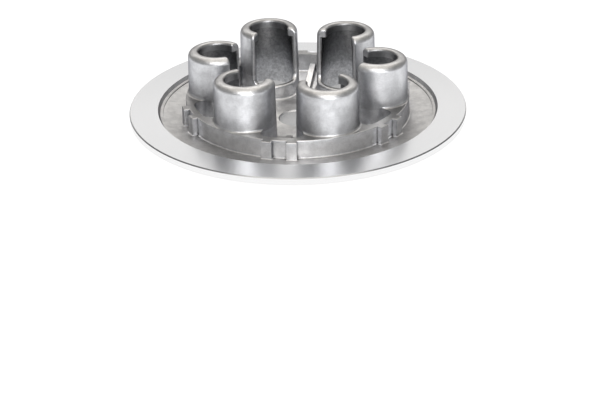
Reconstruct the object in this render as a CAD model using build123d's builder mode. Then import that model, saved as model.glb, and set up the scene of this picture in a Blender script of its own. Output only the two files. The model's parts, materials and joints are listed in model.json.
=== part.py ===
from build123d import *
import os
from math import acos, asin, atan2, cos, degrees, radians, sin, tan

# Clutch pressure plate: one aluminium casting, written as the regions a designer would name. A machined
# friction ring, a dished web with a hub, and six slotted spring cups joined by a low wall with pairs of lugs.
# Millimetres, +Z towards the cup ends, origin at the centre of the hub's end face, on which it stands.
# The regions meet face to face. Each is drawn with a cup on +X, and cup_phase turns the whole plate.

# ---- friction ring ----
plate_radius = 70.0
ring_thickness = 3.2
ring_width = 11.8
ring_edge_chamfer = 0.4
dimple_inset = 3.1
dimple_angle = 70.5
dimple_radius = 3.2
dimple_point_angle = 118.0

# ---- web and hub ----
hub_end_drop = 10.3
web_step_drop = 2.2
web_step_land = 0.8
web_step_run = 1.4
web_step_fillet = 0.9
web_slope = 6.9
web_thickness = 3.3
recess_wall_run = 0.9
recess_land_width = 1.1
recess_land_rise = 0.35
recess_foot_fillet = 0.5
hub_bore_radius = 7.7
hub_bore_chamfer = 0.5
hub_end_radius = 10.2
hub_end_chamfer = 0.6
hub_base_radius = 11.2
hub_base_fillet = 1.8
hub_region_width = 3.3
hub_pad_clearance = 1.5

# ---- spring cups ----
cup_count = 6
cup_phase = -9.2
cup_circle_radius = 33.3
cup_height = 22.8
cup_root_radius = 12.6
cup_end_radius = 12.25
cup_end_round = 2.8
cup_shoulder_flare = 1.0
pocket_mouth_radius = 10.84
pocket_seat_radius = 10.25
lip_thickness = 3.7
lip_hole_radius = 7.9
lip_round = 1.2
slot_half_angle = 52.5
slot_floor_drop = 0.2
slot_corner_radius = 3.0
slot_edge_round = 1.1

# ---- castellated wall, lugs and ribs ----
wall_outer_radius = 46.4
wall_thickness = 2.8
wall_rise = 4.5
wall_top_round = 0.4
pocket_corner_radius = 3.4
foot_fillet = 1.1
outer_foot_fillet = 0.6
foot_stub = 0.2
lug_width = 4.1
lug_spacing = 10.0
lug_depth = 2.2
lug_land = 1.6
rib_width = 2.4
rib_rise = 0.6
rib_tip_height = 1.7
rib_tip_clearance = 2.8

# ---- levels and radii worked out from them ----
friction_z = hub_end_drop + ring_thickness
friction_inner_radius = plate_radius - ring_width
dimple_circle_radius = friction_inner_radius + dimple_inset
web_step_radius = friction_inner_radius - web_step_land
cup_end_z = friction_z + cup_height
wall_top_z = friction_z + wall_rise
slot_floor_z = friction_z - slot_floor_drop
lip_seat_z = cup_end_z - lip_thickness
web_step_foot_radius = web_step_radius - web_step_run
web_step_foot_z = hub_end_drop - web_step_drop
hub_region_radius = hub_base_radius + hub_region_width
hub_pad_radius = cup_circle_radius - cup_root_radius - hub_pad_clearance
rib_tip_radius = hub_pad_radius + rib_tip_clearance
wall_inner_radius = wall_outer_radius - wall_thickness
lug_outer_radius = wall_outer_radius + lug_depth
stub_height = foot_fillet + foot_stub
sector = 360 / cup_count
above_all_z = cup_end_z + 5
slot_far_reach = 2 * cup_root_radius
slot_near_reach = 2 * slot_corner_radius / sin(radians(2 * slot_half_angle)) + 0.5


def web_back_z(radius):
    """Height of the web's dished outer face."""
    return web_step_foot_z - (web_step_foot_radius - radius) * tan(radians(web_slope))


def web_floor_z(radius):
    """Height of the web's as-cast floor, which is level inside hub_pad_radius."""
    return web_back_z(max(radius, hub_pad_radius)) + web_thickness


recess_foot_radius = friction_inner_radius - recess_wall_run
recess_land_radius = recess_foot_radius - recess_land_width
recess_land_z = web_floor_z(recess_land_radius) + recess_land_rise
rib_side_space = (cup_circle_radius - 2 * cup_root_radius - rib_width) / 2
floor_width = recess_land_radius - lug_outer_radius
hub_pad_z = web_floor_z(hub_pad_radius)
lug_angle = degrees(asin(lug_spacing / 2 / lug_outer_radius))
arc_half_angle = lug_angle + degrees(asin((lug_width / 2 + lug_land) / wall_outer_radius))
wall_middle_radius = wall_inner_radius + wall_thickness / 2
corner_reach = wall_inner_radius - pocket_corner_radius
corner_span = cup_root_radius + pocket_corner_radius
corner_angle = degrees(acos((corner_reach**2 + cup_circle_radius**2 - corner_span**2)
                            / (2 * corner_reach * cup_circle_radius)))


def at_angle(radius, angle):
    """Plan point at a radius and an angle."""
    return (radius * cos(radians(angle)), radius * sin(radians(angle)))


def plan_distance(point, x=0):
    """Distance in plan from the vertical line through (x, 0)."""
    return Vector(point.X - x, point.Y).length


def cup_point(radius, angle):
    """Plan point at a radius and an angle about the cup on +X."""
    x, y = at_angle(radius, angle)
    return (cup_circle_radius + x, y)


def corner_of(sketch, point):
    """The sketch's vertex at a point."""
    return sketch.vertices().sort_by_distance(point)[0]


def cup_root():
    """Plan of the cup on +X, with a round corner on each side where it meets the wall."""
    with BuildSketch() as plan:
        for side in (-1, 1):
            with BuildLine():
                Polyline(at_angle(corner_reach, side * corner_angle),
                         at_angle(wall_middle_radius, side * corner_angle),
                         (wall_middle_radius, 0), (cup_circle_radius, 0), close=True)
            make_face()
            with PolarLocations(corner_reach, 1, start_angle=side * corner_angle):
                Circle(pocket_corner_radius, mode=Mode.SUBTRACT)
        with Locations((cup_circle_radius, 0)):
            Circle(cup_root_radius)
    return plan.sketch


def lug_pair():
    """Plan of the two lugs about +X, which stand on the wall's outer face."""
    with BuildSketch() as plan:
        for side in (-1, 1):
            with PolarLocations(lug_outer_radius, 1, start_angle=side * lug_angle):
                Rectangle(lug_outer_radius - wall_middle_radius, lug_width, align=(Align.MAX, Align.CENTER))
    return plan.sketch


def arc_window():
    """Plan of the region about +X that one wall arc and its lugs fill."""
    with BuildSketch() as plan:
        with BuildLine():
            inner = CenterArc((0, 0), corner_reach, -arc_half_angle, 2 * arc_half_angle)
            outer = CenterArc((0, 0), lug_outer_radius + 1, -arc_half_angle, 2 * arc_half_angle)
            Line(inner @ 0, outer @ 0)
            Line(inner @ 1, outer @ 1)
        make_face()
    return plan.sketch


one_cup = cup_root()
one_lug_pair = lug_pair()
one_window = arc_window()

with BuildSketch() as standing_plan:
    Circle(wall_outer_radius)
    Circle(wall_inner_radius, mode=Mode.SUBTRACT)
    with PolarLocations(0, cup_count):
        add(one_cup)
    with PolarLocations(0, cup_count, start_angle=sector / 2):
        add(one_lug_pair)

with BuildSketch() as cups_plan:
    add(standing_plan.sketch)
    with PolarLocations(0, cup_count, start_angle=sector / 2):
        add(one_window, mode=Mode.SUBTRACT)

with BuildSketch() as arc_plan:
    add(standing_plan.sketch)
    with PolarLocations(0, 1, start_angle=sector / 2):
        add(one_window, mode=Mode.INTERSECT)

with BuildSketch() as rib_plan:
    with PolarLocations(rib_tip_radius, 1, start_angle=sector / 2):
        Rectangle(wall_middle_radius - rib_tip_radius, rib_width, align=(Align.MIN, Align.CENTER))


def under_floor(rise):
    """Everything below a surface that runs parallel to the web's floor, rise above it."""
    outside = plate_radius + 1
    with BuildPart() as below:
        with BuildSketch(Plane.XZ):
            with BuildLine():
                Polyline((0, -1), (outside, -1), (outside, web_floor_z(outside) + rise),
                         (hub_pad_radius, hub_pad_z + rise), (0, hub_pad_z + rise), close=True)
            make_face()
        revolve(axis=Axis.Z)
    return below.part


def spring_pocket():
    """The spring pocket on +X: straight up to the friction face's level, then tapered to the lip."""
    with BuildPart() as core:
        with Locations((cup_circle_radius, 0, -1)):
            Cylinder(pocket_mouth_radius, friction_z + 1, align=(Align.CENTER, Align.CENTER, Align.MIN))
        with Locations((cup_circle_radius, 0, friction_z)):
            Cone(pocket_mouth_radius, pocket_seat_radius, lip_seat_z - friction_z,
                 align=(Align.CENTER, Align.CENTER, Align.MIN))
    return core.part


one_pocket = spring_pocket()
cup_axis = Axis((cup_circle_radius, 0, 0), (0, 0, 1))

# The radial slot that opens a cup towards the plate's centre, with round corners on its floor.
with BuildPart() as slot_cut:
    with BuildSketch(Plane.XY.offset(slot_floor_z)):
        with BuildLine():
            Polyline(*[cup_point(radius, 180 + side * slot_half_angle) for radius, side in
                       ((slot_near_reach, -1), (slot_far_reach, -1),
                        (slot_far_reach, 1), (slot_near_reach, 1))], close=True)
        make_face()
    extrude(amount=above_all_z - slot_floor_z)
    floor_edges = slot_cut.edges().group_by(Axis.Z)[0]
    fillet(floor_edges.filter_by(Axis.Y, reverse=True), slot_corner_radius)


def faces_inwards(edge):
    """True for an edge inside the wall's outer face."""
    return plan_distance(edge @ 0.5) < wall_outer_radius - 0.05


def on_wall_rim(edge):
    """True for the top edges of the wall's outer face."""
    middle = edge @ 0.5
    return abs(plan_distance(middle) - wall_outer_radius) < 0.01 and middle.Z > wall_top_z - 0.01


def on_slot_rim(edge):
    """True for the edges that the slot makes with the cup's outer surface."""
    ends = [plan_distance(edge @ 0, cup_circle_radius), plan_distance(edge @ 1, cup_circle_radius)]
    middle = edge @ 0.5
    angle = degrees(atan2(abs(middle.Y), cup_circle_radius - middle.X))
    outside = max(ends) > cup_end_radius - 0.01 and min(ends) > cup_end_radius - cup_end_round - 0.01
    return outside and angle < slot_half_angle + 0.1 and middle.Z > slot_floor_z - 0.01


def runs_radially(edge):
    """True for an edge that points at the cup's axis along the slot's floor or sides."""
    is_level = edge.geom_type == GeomType.LINE and abs((edge @ 0).Z - (edge @ 1).Z) < 0.01
    return is_level and (edge @ 0.5).Z < wall_top_z


with BuildPart() as spring_cup:
    with BuildSketch(Plane.XZ) as cup_section:
        with BuildLine():
            Polyline((cup_circle_radius, 0), (cup_circle_radius + wall_outer_radius, 0),
                     (cup_circle_radius + wall_outer_radius, wall_top_z),
                     (cup_circle_radius + cup_root_radius, wall_top_z),
                     (cup_circle_radius + cup_end_radius, cup_end_z),
                     (cup_circle_radius, cup_end_z), close=True)
        make_face()
        fillet(corner_of(cup_section, (cup_circle_radius + cup_root_radius, wall_top_z)), cup_shoulder_flare)
        fillet(corner_of(cup_section, (cup_circle_radius + cup_end_radius, cup_end_z)), cup_end_round)
    revolve(axis=cup_axis)
    with BuildSketch():
        add(cups_plan.faces().sort_by(Axis.X)[-1])
    extrude(amount=above_all_z, mode=Mode.INTERSECT)
    fillet(spring_cup.edges().filter_by(on_wall_rim), wall_top_round)
    add(under_floor(stub_height), mode=Mode.SUBTRACT)
    add(one_pocket, mode=Mode.SUBTRACT)
    with Locations((cup_circle_radius, 0, cup_end_z)):
        Hole(lip_hole_radius, depth=2 * lip_thickness)
    lip_edges = spring_cup.edges().filter_by(GeomType.CIRCLE).group_by(Axis.Z)[-1]
    fillet(lip_edges.sort_by(SortBy.RADIUS)[0], lip_round)
    add(slot_cut.part, mode=Mode.SUBTRACT)
    slot_rim = [edge for edge in spring_cup.edges().filter_by(on_slot_rim) if not runs_radially(edge)]
    fillet(slot_rim, slot_edge_round)

with BuildPart() as wall_arc:
    add(arc_plan.sketch)
    extrude(amount=wall_top_z)
    top_edges = wall_arc.edges().group_by(Axis.Z)[-1]
    fillet(top_edges.filter_by(faces_inwards, reverse=True), wall_top_round)
    add(under_floor(stub_height), mode=Mode.SUBTRACT)

with BuildPart() as rib:
    with BuildSketch(Plane.XZ):
        with BuildLine():
            Polyline((rib_tip_radius, 0), (rib_tip_radius, web_floor_z(rib_tip_radius) + rib_tip_height),
                     (wall_middle_radius, friction_z + rib_rise), (wall_middle_radius, 0), close=True)
        make_face()
    extrude(amount=rib_width / 2, both=True)
    with BuildSketch():
        Circle(wall_inner_radius)
    extrude(amount=above_all_z, mode=Mode.INTERSECT)
    add(under_floor(stub_height), mode=Mode.SUBTRACT)

with BuildPart() as friction_ring:
    with BuildSketch(Plane.XZ) as ring_section:
        with Locations((friction_inner_radius, hub_end_drop)):
            Rectangle(plate_radius - friction_inner_radius, ring_thickness, align=(Align.MIN, Align.MIN))
        chamfer(ring_section.vertices().group_by(Axis.X)[-1], ring_edge_chamfer)
    revolve(axis=Axis.Z)
    # A shallow drilling in the back balances the plate.
    with Locations((*at_angle(dimple_circle_radius, dimple_angle), hub_end_drop)):
        Cone(dimple_radius, 0, dimple_radius / tan(radians(dimple_point_angle / 2)),
             align=(Align.CENTER, Align.CENTER, Align.MIN), mode=Mode.SUBTRACT)

with BuildPart() as hub:
    with BuildSketch(Plane.XZ) as hub_section:
        with BuildLine():
            Polyline((hub_bore_radius, 0), (hub_end_radius, 0),
                     (hub_base_radius, web_back_z(hub_base_radius)),
                     (hub_region_radius, web_back_z(hub_region_radius)), (hub_region_radius, hub_pad_z),
                     (hub_bore_radius, hub_pad_z), close=True)
        make_face()
        fillet(corner_of(hub_section, (hub_base_radius, web_back_z(hub_base_radius))), hub_base_fillet)
        chamfer(corner_of(hub_section, (hub_end_radius, 0)), hub_end_chamfer)
        chamfer(hub_section.vertices().group_by(Axis.X)[0], hub_bore_chamfer)
    revolve(axis=Axis.Z)


def on_floor(edge):
    """True for an edge along the foot of a cup, wall, lug or rib."""
    middle = edge @ 0.5
    radius = Vector(middle.X, middle.Y).length
    at_foot = abs(middle.Z - web_floor_z(radius)) < 0.01
    return at_foot and hub_pad_radius + 0.1 < radius < lug_outer_radius + 0.1


with BuildSketch() as stubs_plan:
    add(standing_plan.sketch)
    with PolarLocations(0, cup_count):
        add(rib_plan.sketch)
standing_stubs = extrude(stubs_plan.sketch, wall_top_z) & (under_floor(stub_height) - under_floor(-1))

with BuildPart() as web:
    with BuildSketch(Plane.XZ) as web_section:
        with BuildLine():
            Polyline((hub_region_radius, web_back_z(hub_region_radius)),
                     (web_step_foot_radius, web_step_foot_z),
                     (web_step_radius, hub_end_drop), (friction_inner_radius, hub_end_drop),
                     (friction_inner_radius, friction_z), (recess_foot_radius, recess_land_z),
                     (recess_land_radius, recess_land_z),
                     (recess_land_radius, web_floor_z(recess_land_radius)),
                     (hub_pad_radius, hub_pad_z), (hub_region_radius, hub_pad_z), close=True)
        make_face()
        fillet(corner_of(web_section, (web_step_foot_radius, web_step_foot_z)), web_step_fillet)
        fillet(corner_of(web_section, (recess_foot_radius, recess_land_z)), recess_foot_fillet)
    revolve(axis=Axis.Z)
    # Stubs of what stands on the web carry its foot fillets.
    add(standing_stubs)
    # Each fillet leaves room for the one that faces it.
    fillet(web.edges().filter_by(on_floor).filter_by(faces_inwards), min(foot_fillet, 0.45 * rib_side_space))
    fillet(web.edges().filter_by(on_floor).filter_by(faces_inwards, reverse=True),
           min(outer_foot_fillet, 0.45 * floor_width))
    with PolarLocations(0, cup_count):
        add(one_pocket, mode=Mode.SUBTRACT)

os.makedirs("parts", exist_ok=True)
whole = {"friction_ring": friction_ring.part, "hub": hub.part, "web": web.part}
for index in range(cup_count):
    whole[f"spring_cup_{index + 1}"] = spring_cup.part.rotate(Axis.Z, index * sector)
    whole[f"wall_arc_{index + 1}"] = wall_arc.part.rotate(Axis.Z, index * sector)
    whole[f"rib_{index + 1}"] = rib.part.rotate(Axis.Z, (index + 0.5) * sector)
for label, part in whole.items():
    placed = part.rotate(Axis.Z, cup_phase)
    placed.label = label
    export_step(placed, f"parts/{label}.step")
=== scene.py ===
# %% [markdown]
# # Clutch pressure plate: dressing a CAD model
# The object is one aluminium casting: a flat turned ring, a dished web, and six slotted cups on a low
# wall. Its shape comes ready made from CAD, so this lesson is about light and metal. Bare metal has almost
# no colour of its own. What we see is what it mirrors, blurred by how rough each surface was left.

# %% The frame
import json
import math

import bpy
from mathutils import Matrix, Vector


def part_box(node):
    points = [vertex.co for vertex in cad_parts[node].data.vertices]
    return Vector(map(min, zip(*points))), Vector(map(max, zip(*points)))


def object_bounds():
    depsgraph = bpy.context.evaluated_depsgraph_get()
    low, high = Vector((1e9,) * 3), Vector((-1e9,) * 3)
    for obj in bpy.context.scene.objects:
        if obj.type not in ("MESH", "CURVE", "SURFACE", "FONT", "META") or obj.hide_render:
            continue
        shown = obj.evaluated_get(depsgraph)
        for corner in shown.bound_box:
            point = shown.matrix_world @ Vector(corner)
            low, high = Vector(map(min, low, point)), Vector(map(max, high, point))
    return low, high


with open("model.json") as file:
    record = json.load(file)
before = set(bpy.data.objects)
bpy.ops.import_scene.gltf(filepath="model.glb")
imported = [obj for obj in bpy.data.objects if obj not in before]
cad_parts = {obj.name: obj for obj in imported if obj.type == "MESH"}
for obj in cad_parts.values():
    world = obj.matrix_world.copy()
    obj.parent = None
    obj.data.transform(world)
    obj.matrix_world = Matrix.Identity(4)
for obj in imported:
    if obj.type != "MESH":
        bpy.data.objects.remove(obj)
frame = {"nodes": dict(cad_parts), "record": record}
cad_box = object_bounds()
print("nodes:", len(frame["nodes"]))

# %% [markdown]
# ## The sizes that the looks depend on
# A finish follows the shape: the ring was turned, and most of the rest was left as cast. The heights and
# circles where one finish ends could all be typed in, but the CAD model's record already states its
# mounts, so what they say is read there, in metres. The ring's radius and the plate's top are read off the
# meshes. Those are made of facets, so both are rounded to a tenth of a millimetre.

# %% Sizes
MILLIMETRE = 0.001

mounts = {mount["name"]: mount for mount in frame["record"]["mounts"]}
pockets = mounts["spring_pockets"]["dims"]
CUP_COUNT = pockets["count"]
CUP_CIRCLE_RADIUS = pockets["pcd_mm"] / 2.0 * MILLIMETRE
FRICTION_Z = mounts["friction_face"]["pos_m"][2]
PLATE_TOP_Z = round(cad_box[1][2], 4)
RING_OUTER = round(max(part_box("friction_ring")[1]), 4)
MIDDLE = Vector((0.0, 0.0, FRICTION_Z))
print("ring radius", RING_OUTER, "m, friction face at", FRICTION_Z, "m, top at", PLATE_TOP_Z, "m")
print(CUP_COUNT, "cups on a circle of radius", round(CUP_CIRCLE_RADIUS, 4), "m")

# %% [markdown]
# ## Camera
# The plate is seen from a little above. A short lens close by would make the near side of the ring look
# much wider than the far side, so the lens is long and stands well back. It is shifted and not tilted, so
# that the plate sits high in the frame and keeps its shape.

# %% Camera
CAMERA_ELEVATION = math.radians(23.73)
CAMERA_ROLL = math.radians(-1.13)
CAMERA_DISTANCE = 0.6463
NEAREST_SEEN = 0.05
SENSOR_WIDTH_MM = 36.0
LENS_MM = 92.94
LENS_SHIFT_X = 0.0038
LENS_SHIFT_Y = -0.161

camera_data = bpy.data.cameras.new("camera")
camera_data.sensor_width = SENSOR_WIDTH_MM
camera_data.lens = LENS_MM
camera_data.shift_x = LENS_SHIFT_X
camera_data.shift_y = LENS_SHIFT_Y
camera_data.clip_start = NEAREST_SEEN
camera = bpy.data.objects.new("camera", camera_data)
bpy.context.scene.collection.objects.link(camera)

towards_camera = Vector((0.0, -math.cos(CAMERA_ELEVATION), math.sin(CAMERA_ELEVATION)))
stand = Matrix.Translation(MIDDLE + CAMERA_DISTANCE * towards_camera)
look = (-towards_camera).to_track_quat("-Z", "Y").to_matrix().to_4x4()
camera.matrix_world = stand @ look @ Matrix.Rotation(CAMERA_ROLL, 4, "Z")
bpy.context.scene.camera = camera
print("camera stands", CAMERA_DISTANCE, "m away")

# %% [markdown]
# ## A recipe for a material
# A material here is a little network of nodes. It could be wired by hand, one node at a time, but a helper
# that adds a node, sets its numbers and wires it lets the lines below read like a recipe. Positions always
# come from Object coordinates, in metres, because a pattern made from them stays on the metal however the
# plate is turned.

# %% The recipe helper
class Recipe:
    """One material under construction, with its nodes, its links and its shader."""

    def __init__(self, name):
        self.material = bpy.data.materials.new(name)
        self.material.use_nodes = True
        self.nodes = self.material.node_tree.nodes
        self.links = self.material.node_tree.links
        self.shader = self.nodes["Principled BSDF"]
        self.place = self.nodes.new("ShaderNodeTexCoord").outputs["Object"]

    def feed(self, socket, value):
        """Wires a node's output into a socket, or sets the socket to a plain number, colour or vector."""
        if hasattr(value, "is_output"):
            self.links.new(value, socket)
        else:
            socket.default_value = value

    def math(self, operation, *values):
        node = self.nodes.new("ShaderNodeMath")
        node.operation = operation
        for socket, value in zip(node.inputs, values):
            self.feed(socket, value)
        return node.outputs["Value"]

    def add(self, first, second):
        return self.math("ADD", first, second)

    def subtract(self, first, second):
        return self.math("SUBTRACT", first, second)

    def multiply(self, first, second):
        return self.math("MULTIPLY", first, second)

    def ramp(self, value, low, high, out_low=0.0, out_high=1.0):
        """A soft step from out_low to out_high, while value goes from low to high."""
        node = self.nodes.new("ShaderNodeMapRange")
        node.interpolation_type = "SMOOTHSTEP"
        for name, number in (("Value", value), ("From Min", low), ("From Max", high),
                             ("To Min", out_low), ("To Max", out_high)):
            self.feed(node.inputs[name], number)
        return node.outputs["Result"]


print("a recipe can", ", ".join(name for name in vars(Recipe) if not name.startswith("_")))

# %% [markdown]
# ## The table
# A plain floor would get a grey shadow. Small metal goods are often shown on a light table instead, a
# white sheet that glows from below, and a Principled shader with some emission does the same. The bore and
# the spring pockets go right through, and would look like lamps, so the glow is low beneath them and the
# rest of the plate, a painted shadow where the camera looks through. It also fades far in front, out of
# view, so that the upright faces mirror something dim there.

# %% Table
WHITE = (1.0, 1.0, 1.0, 1.0)
TABLE_SIZE = 6.0
TABLE_GREY = (0.30, 0.30, 0.30, 1.0)
TABLE_ROUGHNESS = 0.9
TABLE_GLOSS = 0.1
TABLE_GLOW = 0.88
SHADE_GLOW = 0.35
SHADE_CENTRE = (0.0, 0.0235, 0.0)
SHADE_CORE = 0.050
SHADE_EDGE = 0.068
LIT_CENTRE = (0.0, 1.30, 0.0)
LIT_REACH = (0.90, 1.60, 1.0)
LIT_FADE_END = 1.6  # in reaches
FAR_SHARE = 0.35


def distance_to(recipe, point, reach=(1.0, 1.0, 1.0)):
    """Distance to a point. Each direction counts in units of its own reach, so 1 can be an ellipse."""
    offset = recipe.place
    for operation, amount in (("SUBTRACT", point), ("DIVIDE", reach)):
        node = recipe.nodes.new("ShaderNodeVectorMath")
        node.operation = operation
        node.inputs[1].default_value = amount
        recipe.links.new(offset, node.inputs[0])
        offset = node.outputs["Vector"]
    length = recipe.nodes.new("ShaderNodeVectorMath")
    length.operation = "LENGTH"
    recipe.links.new(offset, length.inputs[0])
    return length.outputs["Value"]


def make_light_table():
    recipe = Recipe("light_table")
    recipe.shader.inputs["Base Color"].default_value = TABLE_GREY
    recipe.shader.inputs["Roughness"].default_value = TABLE_ROUGHNESS
    recipe.shader.inputs["Specular IOR Level"].default_value = TABLE_GLOSS
    recipe.shader.inputs["Emission Color"].default_value = WHITE
    # Painted shadow: the table glows less under the plate.
    glow = recipe.ramp(distance_to(recipe, SHADE_CENTRE), SHADE_CORE, SHADE_EDGE, SHADE_GLOW, TABLE_GLOW)
    share = recipe.ramp(distance_to(recipe, LIT_CENTRE, LIT_REACH), 1.0, LIT_FADE_END, 1.0, FAR_SHARE)
    recipe.feed(recipe.shader.inputs["Emission Strength"], recipe.multiply(glow, share))
    return recipe.material


bpy.ops.object.select_all(action="DESELECT")
bpy.ops.mesh.primitive_plane_add(size=TABLE_SIZE, location=(0.0, 0.0, 0.0))
table = bpy.context.active_object
table.name = "table"
table.data.materials.append(make_light_table())
print("the table is", TABLE_SIZE, "m wide")

# %% [markdown]
# ## Light
# Small lamps would only make sparks on metal, so it is lit by large soft panels, and it looks good only if
# there is something dim to mirror as well. The upright faces mirror two panels in front, one high and one
# low. The flat ring mirrors what is behind the plate: a wide panel, and a small one that is nearer and
# higher, for the ring's near side. The ceiling is dim and a little warm.

# %% Light
WARM_WHITE = (1.0, 0.965, 0.92)
ROOM_LIGHT = 0.32


def light_panel(name, size, place, glow, tint=WHITE[:3]):
    """A soft panel turned towards the plate. Its glow is the brightness that a mirror would show."""
    width, height = size
    data = bpy.data.lights.new(name, "AREA")
    data.shape = "RECTANGLE"
    data.size = width
    data.size_y = height
    data.energy = glow * math.pi * width * height
    data.color = tint
    panel = bpy.data.objects.new(name, data)
    bpy.context.scene.collection.objects.link(panel)
    aim = (MIDDLE - Vector(place)).to_track_quat("-Z", "Y").to_matrix().to_4x4()
    panel.matrix_world = Matrix.Translation(place) @ aim
    print(name, "glows at", glow)


light_panel("panel_front", size=(1.0, 0.7), place=(0.0, -1.02, 0.80), glow=2.7)
light_panel("panel_low", size=(0.9, 0.36), place=(0.30, -1.27, 0.20), glow=3.9)
light_panel("panel_above", size=(1.6, 1.9), place=(0.0, 0.05, 1.25), glow=0.68, tint=WARM_WHITE)
light_panel("panel_behind", size=(3.2, 1.3), place=(0.0, 1.50, 0.95), glow=0.56)
light_panel("panel_high_behind", size=(1.2, 0.4), place=(0.0, 0.85, 1.05), glow=0.8)

studio = bpy.data.worlds.new("studio")
studio.use_nodes = True
studio.node_tree.nodes["Background"].inputs["Color"].default_value = WHITE
studio.node_tree.nodes["Background"].inputs["Strength"].default_value = ROOM_LIGHT
bpy.context.scene.world = studio
bpy.context.scene.view_settings.view_transform = "Standard"

# %% [markdown]
# ## Finding the cups
# Stains and shade follow the six cups, so a material has to know how far a point is from the nearest cup's
# axis. Six distances and the least of them would do. It's shorter to fold the plan into one sixth, as
# paper is folded to cut a star, and to measure from a single cup.

# %% Distances in plan
CUP_PHASE = math.radians(-9.2)  # from +X to the first cup


def parts_of(recipe, vector):
    """The x, y and z of a vector."""
    node = recipe.nodes.new("ShaderNodeSeparateXYZ")
    recipe.links.new(vector, node.inputs["Vector"])
    return node.outputs["X"], node.outputs["Y"], node.outputs["Z"]


def long_side(recipe, first, second):
    """The longest side of a right triangle with these two sides."""
    squares = recipe.add(recipe.multiply(first, first), recipe.multiply(second, second))
    return recipe.math("SQRT", squares)


def plan_radius(recipe):
    """Distance in plan to the plate's axis."""
    x, y, z = parts_of(recipe, recipe.place)
    return long_side(recipe, x, y)


def distance_to_cup_axis(recipe, radius):
    """Distance in plan to the nearest cup's axis."""
    x, y, z = parts_of(recipe, recipe.place)
    angle = recipe.subtract(recipe.math("ARCTAN2", y, x), CUP_PHASE)
    half_sector = math.pi / CUP_COUNT
    folded = recipe.math("WRAP", angle, half_sector, -half_sector)
    along = recipe.subtract(recipe.multiply(radius, recipe.math("COSINE", folded)), CUP_CIRCLE_RADIUS)
    across = recipe.multiply(radius, recipe.math("SINE", folded))
    return long_side(recipe, along, across)


print("each cup has a sector of", 360 / CUP_COUNT, "degrees")

# %% [markdown]
# ## Grain, and tones
# No metal is even, so each finish starts from noise, a smooth random grey. Its values lie mostly between
# 0.3 and 0.7, and a ramp spreads them over a range of tones. A tone is a number that multiplies a colour:
# at 1 the colour stays as it is. An image of bare metal would do as well, but noise never repeats and
# stays sharp.

# %% Noise and tones
def noise(recipe, spots_per_metre, detail, roughness, vector=None, distortion=0.0):
    node = recipe.nodes.new("ShaderNodeTexNoise")
    node.inputs["Scale"].default_value = spots_per_metre
    node.inputs["Detail"].default_value = detail
    node.inputs["Roughness"].default_value = roughness
    node.inputs["Distortion"].default_value = distortion
    recipe.links.new(vector or recipe.place, node.inputs["Vector"])
    return node.outputs["Fac"]


def darkened(recipe, share, amount):
    """A tone of 1 where share is 0, lower by amount where share is 1."""
    return recipe.subtract(1.0, recipe.multiply(share, amount))


print("helpers:", noise.__name__, "and", darkened.__name__)

# %% [markdown]
# ## The tumbled outer face
# The outer face was tumbled, so it is warm and satin, with fine scratches. They could be drawn one by one,
# but noise that is squeezed hard in one direction gives thousands. Along the small step beside the ring
# the face is darker in patches, and the mouths of the spring pockets have a few dark nicks. Both are
# patchy noise, let through only in a narrow band.

# %% Outer face
OUTER_FACE_COLOUR = (0.66, 0.638, 0.612, 1.0)
SQUEEZED_ACROSS = 2600.0  # how much the noise is squeezed across a scratch, and along it
SQUEEZED_ALONG = 240.0
PATCHES_PER_METRE = 55.0
STEP_PATCHES_PER_METRE = 70.0
CHIPS_PER_METRE = 230.0
STEP_RADIUS = 0.0567
POCKET_MARGIN = 0.00026
POCKET_RADIUS = pockets["hole_r_mm"] * MILLIMETRE + POCKET_MARGIN
DARK_MARKS_DARKEN = 0.60


def band(recipe, value, begin, full, fade, end):
    """1 while value is between full and fade, and 0 before begin and after end."""
    return recipe.multiply(recipe.ramp(value, begin, full), recipe.ramp(value, fade, end, 1.0, 0.0))


def scratch_noise(recipe):
    """Noise in long thin streaks."""
    x, y, z = parts_of(recipe, recipe.place)
    squeezed = recipe.nodes.new("ShaderNodeCombineXYZ")
    recipe.links.new(recipe.multiply(recipe.add(x, y), SQUEEZED_ACROSS), squeezed.inputs["X"])
    recipe.links.new(recipe.multiply(recipe.subtract(x, y), SQUEEZED_ALONG), squeezed.inputs["Y"])
    return noise(recipe, 1.0, detail=3.0, roughness=0.7, vector=squeezed.outputs["Vector"])


def outer_face_tone(recipe, radius, cup_distance):
    """How bright the outer face is, about 1 where it's clean."""
    scratches = recipe.ramp(scratch_noise(recipe), 0.30, 0.70, 0.88, 1.03)
    patches = noise(recipe, PATCHES_PER_METRE, detail=4.0, roughness=0.6)
    by_step = band(recipe, radius, STEP_RADIUS - 0.0036, STEP_RADIUS - 0.0008,
                   STEP_RADIUS + 0.0002, STEP_RADIUS + 0.0014)
    step_patches = noise(recipe, STEP_PATCHES_PER_METRE, detail=5.0, roughness=0.7)
    by_mouth = band(recipe, cup_distance, POCKET_RADIUS, POCKET_RADIUS + 0.0005,
                    POCKET_RADIUS + 0.0010, POCKET_RADIUS + 0.0030)
    chips = noise(recipe, CHIPS_PER_METRE, detail=6.0, roughness=0.75, distortion=1.5)
    # Darker in patches along the step, and dark nicks by the pocket mouths.
    dark_marks = recipe.math("MAXIMUM", recipe.multiply(by_step, recipe.ramp(step_patches, 0.46, 0.62)),
                       recipe.multiply(by_mouth, recipe.ramp(chips, 0.60, 0.68)))
    clean = recipe.add(scratches, recipe.ramp(patches, 0.35, 0.65, -0.09, 0.06))
    return recipe.multiply(clean, darkened(recipe, dark_marks, DARK_MARKS_DARKEN))


print("the stain lies at a radius of", STEP_RADIUS, "m")
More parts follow.
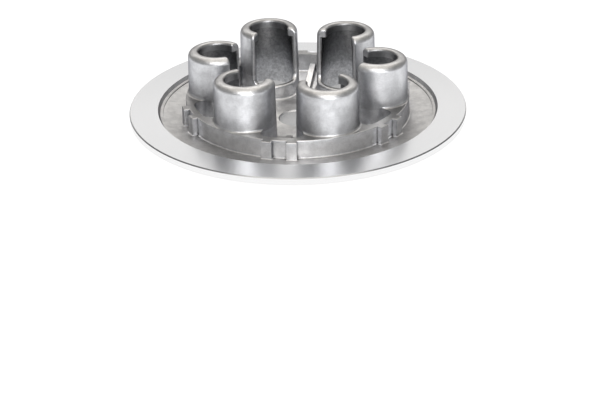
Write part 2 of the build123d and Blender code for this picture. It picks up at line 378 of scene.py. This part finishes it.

# %% [markdown]
# ## Painted light and shade on the cup side
# Some places are painted brighter or darker than the rest of the casting, as light and shade. The
# pockets darken towards their seats and the hole in each lip is dark, as painted shade. The cups' feet are
# painted darker just above the wall, as shade, the wall a little lighter, and the floor inside the wall is
# painted bright. All could be painted on by hand. Here each place is found from its height and its distance
# to an axis, so that all six cups get it alike, and has a tone of its own.

# %% Pockets, lips, feet and floor
POCKET_BRIGHT_Z = 0.0145
POCKET_BRIGHT_TONE = 0.98
POCKET_DARK_Z = 0.026
POCKET_DARK_TONE = 0.48
BLOTCHES_PER_METRE = 900.0
LIP_THICKNESS = 0.0036
LIP_SEAT_Z = PLATE_TOP_Z - LIP_THICKNESS
LIP_RADIUS = 0.0082
LIP_HOLE_SHADE = 0.35
WALL_RISE = 0.0045
WALL_TOP_Z = FRICTION_Z + WALL_RISE
WALL_INNER = 0.0434
WALL_PAINTED_LIGHT = 1.04
FOOT_SHADE_HEIGHT = 0.009
FOOT_SHADE_TONE = 0.84
FLOOR_PAINTED_LIGHT = 0.16


def pocket_painted_shade(recipe, height, cup_distance):
    """Painted shade, dark and blotchy in the pockets, whose width is taken as 0 above the seats, where they
    end.
    """
    # Painted shade: darker the deeper in the pocket, towards the seat.
    depth = recipe.ramp(height, POCKET_BRIGHT_Z, POCKET_DARK_Z, POCKET_BRIGHT_TONE, POCKET_DARK_TONE)
    blotches = noise(recipe, BLOTCHES_PER_METRE, detail=4.0, roughness=0.65)
    tone = recipe.multiply(depth, recipe.ramp(blotches, 0.30, 0.70, 0.72, 1.12))
    width = recipe.ramp(height, LIP_SEAT_Z, LIP_SEAT_Z + 0.0003, POCKET_RADIUS, 0.0)
    return recipe.ramp(recipe.subtract(cup_distance, width), -0.0003, 0.0, tone, 1.0)


def lip_hole_painted_shade(recipe, height, cup_distance):
    # Painted shade inside the hole through the lip.
    in_hole = recipe.ramp(cup_distance, LIP_RADIUS, LIP_RADIUS + 0.0008, 1.0, 0.0)
    above_seat = recipe.ramp(height, LIP_SEAT_Z, LIP_SEAT_Z + 0.0003)
    return darkened(recipe, recipe.multiply(in_hole, above_seat), LIP_HOLE_SHADE)


def foot_shade_and_wall_light(recipe, height):
    """Painted shade on the cups' feet just above the wall, and painted light on the wall below it."""
    # Painted shade on the feet, and painted light on the wall.
    cups = recipe.ramp(height, WALL_TOP_Z, WALL_TOP_Z + FOOT_SHADE_HEIGHT, FOOT_SHADE_TONE, 1.0)
    wall = recipe.ramp(height, WALL_TOP_Z - 0.0005, WALL_TOP_Z + 0.0002, WALL_PAINTED_LIGHT, 0.0)
    return recipe.math("MAXIMUM", cups, wall)


def inner_floor_painted_light(recipe, height, radius):
    # Painted light: the floor inside the wall is made brighter.
    inside = recipe.ramp(radius, WALL_INNER, WALL_INNER + 0.001, 1.0, 0.0)
    low = recipe.ramp(height, FRICTION_Z, FRICTION_Z + 0.003, 1.0, 0.0)
    return recipe.add(1.0, recipe.multiply(recipe.multiply(inside, low), FLOOR_PAINTED_LIGHT))


print("grime reaches", FOOT_SHADE_HEIGHT, "m up the cups from a height of", WALL_TOP_Z, "m")

# %% [markdown]
# ## Dark corners, blended colours and bumps
# Shade gathers in sharp inner corners, and is painted into the colour there. The corners could be found by
# distance too, one by one, but an Ambient Occlusion node finds them all by itself. The last helpers blend
# two colours, apply a tone to a colour, and make bumps too small to model, which only tilt the light.

# %% Corners, colours and bumps
CORNER_SAMPLES = 8
CORNER_REACH = 0.0014
CORNER_SHADE_TONE = 0.25


def corner_painted_shade(recipe):
    """Painted shade: 1 on open metal, falling to the corner tone in a sharp inner corner."""
    node = recipe.nodes.new("ShaderNodeAmbientOcclusion")
    node.samples = CORNER_SAMPLES
    node.inputs["Distance"].default_value = CORNER_REACH
    return recipe.ramp(node.outputs["AO"], 0.35, 0.85, CORNER_SHADE_TONE, 1.0)


def blend(recipe, factor, first, second, how="MIX"):
    node = recipe.nodes.new("ShaderNodeMix")
    node.data_type = "RGBA"
    node.blend_type = how
    recipe.feed(node.inputs["Factor"], factor)
    recipe.feed(node.inputs["A"], first)
    recipe.feed(node.inputs["B"], second)
    return node.outputs["Result"]


def toned(recipe, colour, tone):
    grey = recipe.nodes.new("ShaderNodeCombineColor")
    for socket in grey.inputs:
        recipe.links.new(tone, socket)
    return blend(recipe, 1.0, colour, grey.outputs["Color"], "MULTIPLY")


def bumps(recipe, height, depth, strength, under=None):
    node = recipe.nodes.new("ShaderNodeBump")
    node.inputs["Strength"].default_value = strength
    node.inputs["Distance"].default_value = depth
    recipe.links.new(height, node.inputs["Height"])
    if under:
        recipe.links.new(under, node.inputs["Normal"])
    return node.outputs["Normal"]


print("corners are dark within", CORNER_REACH, "m")

# %% [markdown]
# ## The colour of the cast skin
# The skin of a casting is a fine sandy grain, with larger clouds where the metal cooled at different
# speeds, so it gets noise of two sizes. A single noise with more detail would have every size in between as
# well, which looks like fog. Faces that look up are painted warmer, as the warm light from above falls on
# them, and upright ones are painted cooler. The floor outside the wall is a little darker than the rest.

# %% Cast colour
GRAINS_PER_METRE = 3200.0
CLOUDS_PER_METRE = 260.0
SIDE_COLOUR = (0.67, 0.677, 0.697, 1.0)
UPPER_PAINTED_WARM_LIGHT = (0.71, 0.695, 0.675, 1.0)
WALL_OUTER = 0.0467
OUTER_FLOOR_DARKENS = 0.03


def facing_up(recipe):
    """1 on a face that looks straight up, 0 on an upright one, and -1 on one that looks down."""
    geometry = recipe.nodes.new("ShaderNodeNewGeometry")
    return parts_of(recipe, geometry.outputs["Normal"])[2]


def cast_skin(recipe, radius):
    """Grain and clouds, and the shares of the floor outside the wall and of the tumbled outer face."""
    height = parts_of(recipe, recipe.place)[2]
    upward = facing_up(recipe)
    grain = noise(recipe, GRAINS_PER_METRE, detail=3.0, roughness=0.6)
    clouds = noise(recipe, CLOUDS_PER_METRE, detail=4.0, roughness=0.6)
    outer_floor = recipe.multiply(recipe.ramp(radius, WALL_OUTER, WALL_OUTER + 0.0012),
                                  recipe.ramp(upward, 0.60, 0.97))
    looks_down = recipe.ramp(recipe.multiply(upward, -1.0), 0.20, 0.45)
    tumbled = recipe.multiply(looks_down, recipe.ramp(height, FRICTION_Z - 0.001, FRICTION_Z, 1.0, 0.0))
    return grain, clouds, outer_floor, tumbled


def cast_colour(recipe, radius, skin):
    """The colour of the cup side with all its tones, and that of the outer face."""
    grain, clouds, outer_floor, tumbled = skin
    cup_distance = distance_to_cup_axis(recipe, radius)
    height = parts_of(recipe, recipe.place)[2]
    tone = recipe.add(recipe.ramp(grain, 0.30, 0.70, 0.90, 1.06),
                      recipe.ramp(clouds, 0.32, 0.68, -0.13, 0.08))
    for shade in (pocket_painted_shade(recipe, height, cup_distance), lip_hole_painted_shade(recipe, height, cup_distance),
                  foot_shade_and_wall_light(recipe, height), darkened(recipe, outer_floor, OUTER_FLOOR_DARKENS),
                  inner_floor_painted_light(recipe, height, radius), corner_painted_shade(recipe)):
        tone = recipe.multiply(tone, shade)
    # Painted light: faces that look up get the warm colour of the light from above.
    painted_warmth = recipe.ramp(facing_up(recipe), 0.15, 0.85)
    cup_side = toned(recipe, blend(recipe, painted_warmth, SIDE_COLOUR, UPPER_PAINTED_WARM_LIGHT), tone)
    outer_face = toned(recipe, OUTER_FACE_COLOUR, outer_face_tone(recipe, radius, cup_distance))
    return blend(recipe, tumbled, cup_side, outer_face)


print("the skin has", GRAINS_PER_METRE * MILLIMETRE, "grains to the millimetre")

# %% [markdown]
# ## Cast aluminium
# The same grain and clouds make the bumps, so that a dark grain is also a low one. The floor outside the
# wall and the tumbled face are a little rougher than the rest. Smooth metal turns white at a glancing
# angle. This rough skin doesn't, so its edge tint is dark.

# %% Cast aluminium
CAST_ROUGHNESS = (0.36, 0.31)  # in dark clouds and in bright ones
OUTER_FLOOR_ROUGHENS = 0.08
TUMBLING_ROUGHENS = 0.08
GRAIN_DEPTH = 0.00008
GRAIN_STRENGTH = 0.55
CLOUD_DEPTH = 0.0005
CLOUD_STRENGTH = 0.15
EDGE_TINT = (0.30, 0.30, 0.32, 1.0)


def bare_metal(recipe, colour, roughness, normal):
    """Finishes a recipe as bare metal with these three."""
    recipe.shader.inputs["Metallic"].default_value = 1.0
    recipe.links.new(colour, recipe.shader.inputs["Base Color"])
    recipe.links.new(roughness, recipe.shader.inputs["Roughness"])
    recipe.links.new(normal, recipe.shader.inputs["Normal"])
    return recipe.material


def make_cast_aluminium():
    recipe = Recipe("cast_aluminium")
    radius = plan_radius(recipe)
    skin = cast_skin(recipe, radius)
    grain, clouds, outer_floor, tumbled = skin
    roughness = recipe.add(recipe.ramp(clouds, 0.30, 0.70, *CAST_ROUGHNESS),
                           recipe.multiply(outer_floor, OUTER_FLOOR_ROUGHENS))
    roughness = recipe.add(roughness, recipe.multiply(tumbled, TUMBLING_ROUGHENS))
    uneven = bumps(recipe, clouds, CLOUD_DEPTH, CLOUD_STRENGTH)
    sandy = bumps(recipe, grain, GRAIN_DEPTH, GRAIN_STRENGTH, under=uneven)
    recipe.shader.inputs["Specular Tint"].default_value = EDGE_TINT
    return bare_metal(recipe, cast_colour(recipe, radius, skin), roughness, sandy)


cast = make_cast_aluminium()
print(cast.name, "has", len(cast.node_tree.nodes), "nodes")

# %% [markdown]
# ## Turned aluminium
# The friction ring was faced on a lathe, and so was the hub's boss. The tool left thousands of fine
# circles. Bumps alone can't show them, because they are too fine to see one by one, and what shows is their
# common gloss: a highlight is drawn out across the circles, so it fans out from the middle like the light
# on a pan. Anisotropy with a radial tangent does that. The ring's edge was broken with a small chamfer,
# painted dark on the near side as a dark reflection, mostly to the left and right of its middle. The backs
# and the top of the hub were left as cast.

# %% The turned faces
TURNED_COLOUR = (0.85, 0.848, 0.85, 1.0)
# The rim is painted a little darker than the face, as shade.
RIM_COLOUR = (0.80, 0.80, 0.805, 1.0)
EDGE_COLOUR = (0.80, 0.80, 0.80, 1.0)
NEAR_EDGE_REFLECTION_COLOUR = (0.38, 0.38, 0.39, 1.0)
RING_CHAMFER = 0.0004
BOSS_RADIUS = 0.0118
BETWEEN_HUB_AND_RING = 0.030


def turned_colour(recipe, radius, circles, upward):
    """The face, the outer rim, and the chamfer between them with its painted dark reflection."""
    y = parts_of(recipe, recipe.place)[1]
    towards_front = recipe.math("DIVIDE", recipe.multiply(y, -1.0), radius)
    # Painted dark reflection on the near side of the chamfer.
    painted_dark_reflection = recipe.multiply(recipe.ramp(towards_front, 0.15, 0.60),
                           recipe.ramp(towards_front, 0.90, 0.97, 1.0, 0.25))
    edge = blend(recipe, painted_dark_reflection, EDGE_COLOUR, NEAR_EDGE_REFLECTION_COLOUR)
    at_chamfer = recipe.ramp(radius, RING_OUTER - 1.3 * RING_CHAMFER, RING_OUTER - RING_CHAMFER)
    on_chamfer = recipe.multiply(at_chamfer, recipe.ramp(upward, 0.15, 0.45))
    on_rim = recipe.ramp(radius, RING_OUTER - 0.0002, RING_OUTER - 0.0001)
    colour = blend(recipe, on_chamfer, blend(recipe, on_rim, TURNED_COLOUR, RIM_COLOUR), edge)
    return toned(recipe, colour, recipe.ramp(circles, 0.25, 0.75, 0.97, 1.01))


def left_as_cast(recipe, radius, upward):
    """1 on the top of the hub and on all backs outside the boss, and 0 where the lathe went."""
    on_hub = recipe.ramp(radius, BETWEEN_HUB_AND_RING, BETWEEN_HUB_AND_RING + 0.001, 1.0, 0.0)
    hub_top = recipe.multiply(recipe.ramp(upward, 0.80, 0.95), on_hub)
    outside_boss = recipe.ramp(radius, BOSS_RADIUS, BOSS_RADIUS + 0.0003)
    back = recipe.multiply(recipe.ramp(recipe.multiply(upward, -1.0), 0.90, 0.97), outside_boss)
    return recipe.math("MAXIMUM", hub_top, back)


print("the chamfer is", RING_CHAMFER, "m wide")

# %% [markdown]
# ## The circles of the lathe
# A few coarser circles do show, as faint bumps and tones. A wave pattern would be too regular, and noise
# has spots, not circles. So the noise reads the distance to the axis in place of x and y, which draws each
# spot out into a whole circle. On upright faces that distance doesn't change, so a share of the height is
# read as well.

# %% Turned aluminium
CIRCLES_PER_METRE = 5200.0
CIRCLE_DEPTH = 0.00001
CIRCLE_STRENGTH = 0.3
TURNED_ROUGHNESS = 0.27
CAST_EXTRA_ROUGHNESS = 0.17
TURNED_ANISOTROPY = 0.75
HEIGHT_SHARE = 0.4


def make_turned_aluminium():
    recipe = Recipe("turned_aluminium")
    radius = plan_radius(recipe)
    height = parts_of(recipe, recipe.place)[2]
    upward = facing_up(recipe)
    across_circles = recipe.nodes.new("ShaderNodeCombineXYZ")
    recipe.links.new(radius, across_circles.inputs["X"])
    recipe.links.new(recipe.multiply(height, HEIGHT_SHARE), across_circles.inputs["Z"])
    circles = noise(recipe, CIRCLES_PER_METRE, detail=2.0, roughness=0.5,
                    vector=across_circles.outputs["Vector"])

    as_cast = left_as_cast(recipe, radius, upward)
    colour = blend(recipe, as_cast, turned_colour(recipe, radius, circles, upward),
                   cast_colour(recipe, radius, cast_skin(recipe, radius)))
    roughness = recipe.add(TURNED_ROUGHNESS, recipe.multiply(as_cast, CAST_EXTRA_ROUGHNESS))

    recipe.shader.inputs["Anisotropic"].default_value = TURNED_ANISOTROPY
    tangent = recipe.nodes.new("ShaderNodeTangent")
    tangent.direction_type = "RADIAL"
    tangent.axis = "Z"
    recipe.links.new(tangent.outputs["Tangent"], recipe.shader.inputs["Tangent"])
    return bare_metal(recipe, colour, roughness, bumps(recipe, circles, CIRCLE_DEPTH, CIRCLE_STRENGTH))


turned = make_turned_aluminium()
print(turned.name, "has", len(turned.node_tree.nodes), "nodes")

# %% [markdown]
# ## Dressing the nodes
# The ring and the hub went on the lathe, and every other node is as cast. A copy of each mesh could be
# dressed instead, but a CAD node already has the right shape and place, so only the material in its slot
# is changed.

# %% Dress the nodes
for name, node in frame["nodes"].items():
    metal = turned if name in ("friction_ring", "hub") else cast
    node.data.materials.clear()
    node.data.materials.append(metal)
print("finished nodes:", sorted(frame["nodes"]))

# %% [markdown]
# A finish changes no shape, so the dressed plate must fill the same box as the CAD model.
